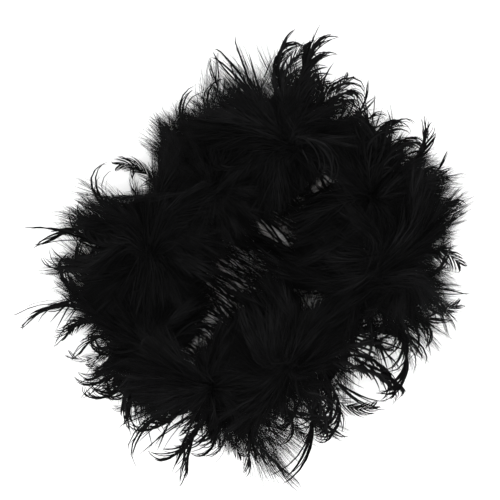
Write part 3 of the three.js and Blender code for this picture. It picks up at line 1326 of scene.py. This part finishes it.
class Studio:
    """A white floor, soft light from straight above, and a camera that looks down on the boa."""

    SKY_STRENGTH = 1.5
    SUN_STRENGTH = 1.5
    SUN_WIDTH = math.radians(20)
    FLOOR_SIZE = 6.0
    LENS = 150.0
    SENSOR = 36.0
    VIEW_WIDTH = 400.0
    VIEW_HEIGHT = 100.0
    VIEW_CENTRE = (5.4, 15.8)
    ROLL = math.radians(-43)

    def build(self) -> None:
        """Makes the floor, the lights, the sky and the camera."""
        scene = bpy.context.scene
        scene.view_settings.view_transform = "Standard"
        world = bpy.data.worlds.new("studio")
        world.use_nodes = True
        background = world.node_tree.nodes["Background"]
        set_inputs(background, {"Color": linear("ffffff"), "Strength": self.SKY_STRENGTH})
        scene.world = world
        self.make_floor()
        self.make_light()
        self.make_camera()

    def make_floor(self) -> None:
        """Makes the pale paper floor."""
        sheet = bmesh.new()
        bmesh.ops.create_grid(sheet, x_segments=1, y_segments=1, size=self.FLOOR_SIZE)
        paper, _, shader = new_material("matt_white_paper")
        looks = {"Base Color": linear("f4f4f4"), "Roughness": 0.9, "Specular IOR Level": 0.2}
        set_inputs(shader, looks)
        piece_from("floor", mesh_from("floor", sheet), paper)

    def make_light(self) -> None:
        """Hangs one large soft light straight above."""
        light = bpy.data.lights.new("overhead", "SUN")
        light.energy, light.angle = self.SUN_STRENGTH, self.SUN_WIDTH
        bpy.context.scene.collection.objects.link(bpy.data.objects.new("overhead", light))

    def make_camera(self) -> None:
        """Looks straight down, turned so that the oval lies along the view's diagonal."""
        camera = bpy.data.cameras.new("camera")
        camera.lens, camera.sensor_width = self.LENS, self.SENSOR
        camera.dof.use_dof = False
        holder = bpy.data.objects.new("camera", camera)
        distance = self.VIEW_WIDTH * MM * self.LENS / self.SENSOR
        height = distance + self.VIEW_HEIGHT * MM
        holder.location = (self.VIEW_CENTRE[0] * MM, self.VIEW_CENTRE[1] * MM, height)
        holder.rotation_euler = (0, 0, self.ROLL)
        bpy.context.scene.collection.objects.link(holder)
        bpy.context.scene.camera = holder


# ---- Assembly ----


def fans_for(index: int) -> tuple[Fan, ...]:
    """Chooses a tuft's fans from its turn of the coil, the first tuft being 0."""
    turn = index // CoilRoute.TURN_TUFTS
    if turn < 2:
        return (BOTTOM_FANS, MIDDLE_FANS)[turn]
    if index == CoilRoute.TUFTS - 1:
        return *TOP_FANS, LOW_CROWN, END_COVER
    if index in CROWN_LEANS:
        return *TOP_FANS, replace(FULL_CROWN, lean=CROWN_LEANS[index])
    return *TOP_FANS, LOW_CROWN


def body_of_node(frame: dict, node: str) -> str:
    """Finds the body that a node moves with."""
    bodies = frame["record"]["behaviour"]["bodies"]
    return next(body for body, nodes in bodies.items() if node in nodes)


class Boa:
    """The whole boa: tufts, bindings, cord and ends, all but the cord's tails riding on a body."""

    BINDING = ThreadBinding(length=14.0, inside=2.85, layers=1, quills=12)
    WHIPPING = ThreadBinding(length=9.0, inside=2.0, layers=2, quills=0)
    BINDING_SEED = 9000
    END_SEED = 9100

    def __init__(self, frame: dict) -> None:
        """Makes the route, the feathers and the finishes."""
        self.frame = frame
        self.route, self.outline, self.stock = CoilRoute(), Outline(), FeatherStock()
        self.quill, self.down = DYED_QUILL.make(), DYED_DOWN.make()
        self.cotton, self.thread = COTTON_CORD.make(), POLYESTER_THREAD.make()

    def build(self) -> None:
        """Builds every piece."""
        for index in range(self.route.TUFTS):
            self.add_tuft(index)
            self.add_binding(index)
        CoreCord(self.route).build(self.cotton)
        self.add_end("lower", 0.0, -1)
        self.add_end("upper", self.route.LENGTH, 1)

    def add_tuft(self, index: int) -> None:
        """Adds one tuft's feathers."""
        tuft = Tuft(self.route, self.outline, self.stock, index, fans_for(index))
        piece = tuft.build(self.quill, self.down)
        self.stand_for(piece, f"feather_tuft_{index + 1:02d}")

    def add_binding(self, index: int) -> None:
        """Adds the thread and quill ends that hold one tuft."""
        name = f"tuft_{index + 1:02d}_binding"
        middle = self.route.tuft_start(index) + self.route.PITCH / 2
        random = np.random.default_rng(self.BINDING_SEED + index)
        mesh = to_metres(self.BINDING.build(name, self.route, middle, random))
        piece = piece_from(name, mesh, self.thread, self.quill)
        self.stand_for(piece, f"quill_binding_{index + 1:02d}")

    def add_end(self, level: str, end: float, sign: int) -> None:
        """Adds the whipping and the tying loop at one end of the cord."""
        middle = end - sign * self.route.BARE_END / 2
        name = f"{level}_whipping_thread"
        random = np.random.default_rng(self.END_SEED + sign)
        mesh = to_metres(self.WHIPPING.build(name, self.route, middle, random))
        whipping = piece_from(name, mesh, self.thread)
        self.stand_for(whipping, f"{level}_end_whipping")
        name = f"{level}_loop_cord"
        mesh = to_metres(TyingLoop().build(name, self.route, end, sign))
        loop = piece_from(name, mesh, self.cotton)
        self.stand_for(loop, f"{level}_end_loop")

    def stand_for(self, piece: Object, node: str) -> None:
        """Rides a piece on a node's body in place of that node, which it hides."""
        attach(piece, body_of_node(self.frame, node))
        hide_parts(node)
        faces = len(piece.data.loops) - 2 * len(piece.data.polygons)
        LOG.info("%s: %d triangles", piece.name, faces)


def main() -> None:
    """Builds the studio and the boa."""
    logging.basicConfig(level=logging.INFO, format="%(name)s: %(message)s")
    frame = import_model()
    Studio().build()
    Boa(frame).build()


if __name__ == "__main__":
    main()
